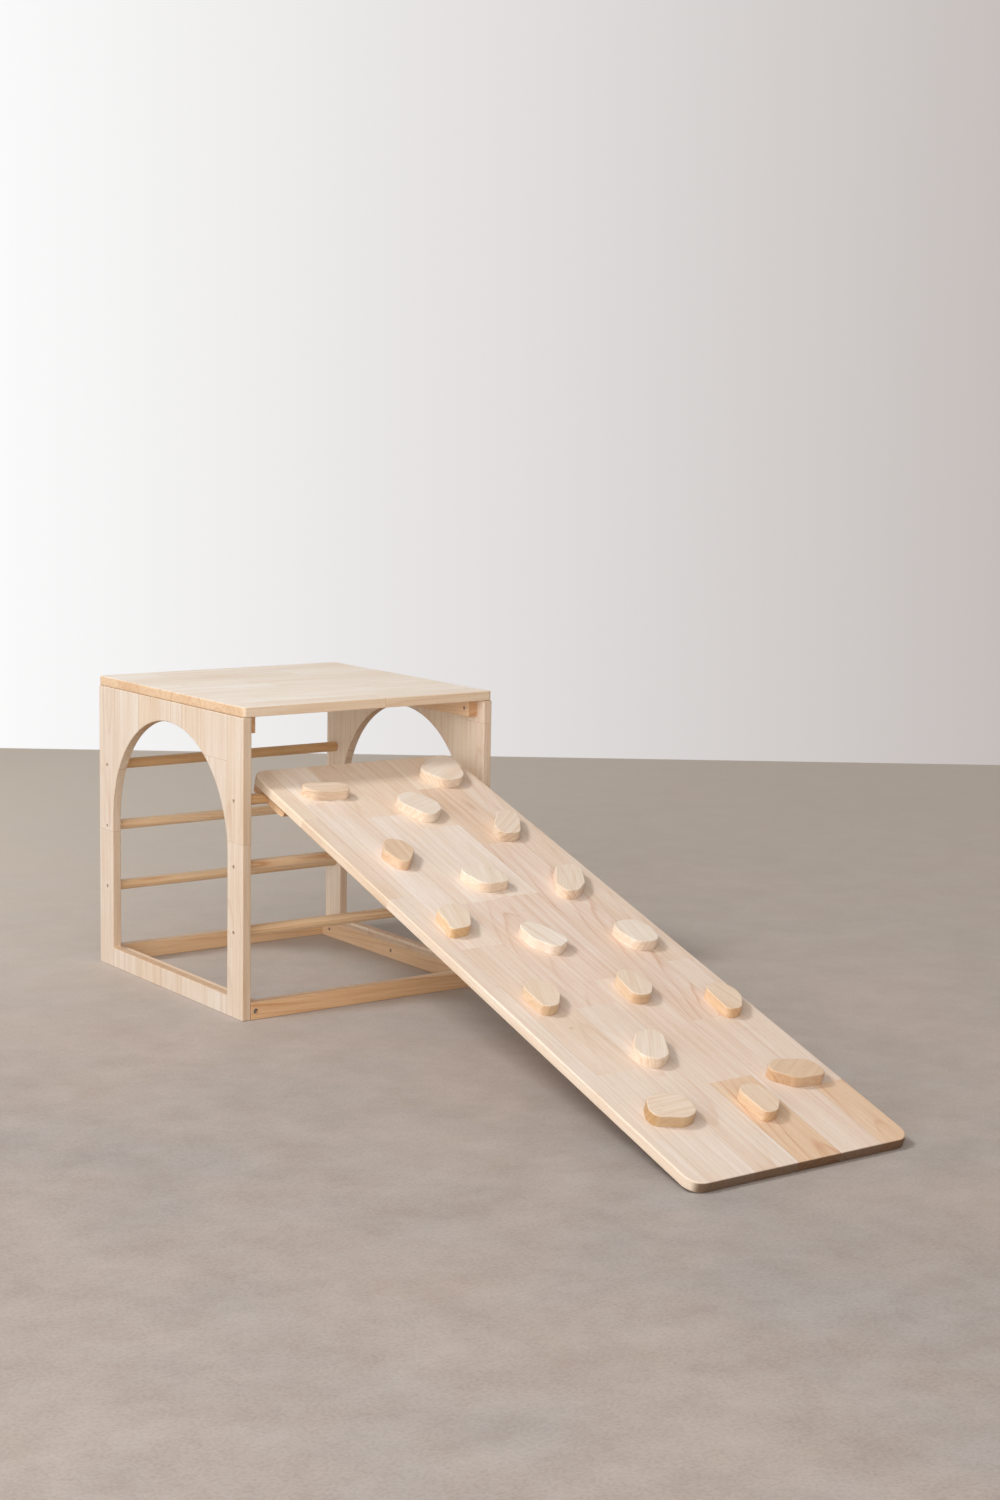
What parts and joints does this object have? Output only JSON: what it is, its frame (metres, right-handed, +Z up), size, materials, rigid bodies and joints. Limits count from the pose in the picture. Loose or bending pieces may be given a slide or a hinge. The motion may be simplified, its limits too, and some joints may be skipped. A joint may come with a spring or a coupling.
{
  "type": "climbing ramp",
  "caption": "Wooden toddler climbing ramp with shaped foot holds, hooked on a rung of a low climbing cube with arched side openings and a flat top.",
  "frame": {"origin": "on the floor, at the middle of the whole object's footprint", "axes": "+X across, from the left side panel to the right one; +Y from the ramp's foot to the cube; +Z up"},
  "size_m": [0.54, 1.7486, 0.5683],
  "materials": {
    "panel_wood": "satin clear coat on edge-glued boards",
    "board_wood": "satin clear coat on edge-glued boards",
    "rung_wood": "satin clear coat",
    "batten_wood": "satin clear coat",
    "ramp_wood": "satin clear coat on edge-glued boards",
    "hold_wood": "satin clear coat",
    "screw_steel": "bright zinc"
  },
  "bodies": {
    "cube": {"top_board": "board_wood", "side_panel_left": "panel_wood", "side_panel_right": "panel_wood", "rung_front_upper": "rung_wood", "rung_front_middle": "rung_wood", "rung_front_lower": "rung_wood", "rung_rear_upper": "rung_wood", "rung_rear_middle": "rung_wood", "rung_rear_lower": "rung_wood", "rail_front": "batten_wood", "rail_rear": "batten_wood", "floor_cleat_left": "batten_wood", "floor_cleat_right": "batten_wood", "top_cleat_left": "batten_wood", "top_cleat_right": "batten_wood", "rung_screw_front_upper_left": "screw_steel", "rung_screw_front_middle_left": "screw_steel", "rung_screw_front_lower_left": "screw_steel", "rung_screw_rear_upper_left": "screw_steel", "rung_screw_rear_middle_left": "screw_steel", "rung_screw_rear_lower_left": "screw_steel", "rung_screw_front_upper_right": "screw_steel", "rung_screw_front_middle_right": "screw_steel", "rung_screw_front_lower_right": "screw_steel", "rung_screw_rear_upper_right": "screw_steel", "rung_screw_rear_middle_right": "screw_steel", "rung_screw_rear_lower_right": "screw_steel", "rail_bolt_front_left": "screw_steel", "rail_bolt_rear_left": "screw_steel", "rail_bolt_front_right": "screw_steel", "rail_bolt_rear_right": "screw_steel", "floor_cleat_screw_front_left": "screw_steel", "floor_cleat_screw_rear_left": "screw_steel", "floor_cleat_screw_front_right": "screw_steel", "floor_cleat_screw_rear_right": "screw_steel", "top_cleat_screw_front_left": "screw_steel", "top_cleat_screw_rear_left": "screw_steel", "top_cleat_screw_front_right": "screw_steel", "top_cleat_screw_rear_right": "screw_steel"},
    "ramp": {"ramp_board": "ramp_wood", "ramp_hook_left": "batten_wood", "ramp_hook_right": "batten_wood", "hold_01": "hold_wood", "hold_02": "hold_wood", "hold_03": "hold_wood", "hold_04": "hold_wood", "hold_05": "hold_wood", "hold_06": "hold_wood", "hold_07": "hold_wood", "hold_08": "hold_wood", "hold_09": "hold_wood", "hold_10": "hold_wood", "hold_11": "hold_wood", "hold_12": "hold_wood", "hold_13": "hold_wood", "hold_14": "hold_wood", "hold_15": "hold_wood", "hold_16": "hold_wood", "hold_17": "hold_wood"}
  },
  "joints": [
    {"name": "ramp_tilt", "type": "hinge", "parent": "cube", "child": "ramp", "pos_m": [0, 0.34735, 0.397], "axis": [-1, 0, 0], "range_deg": [0, 70]}
  ]
}
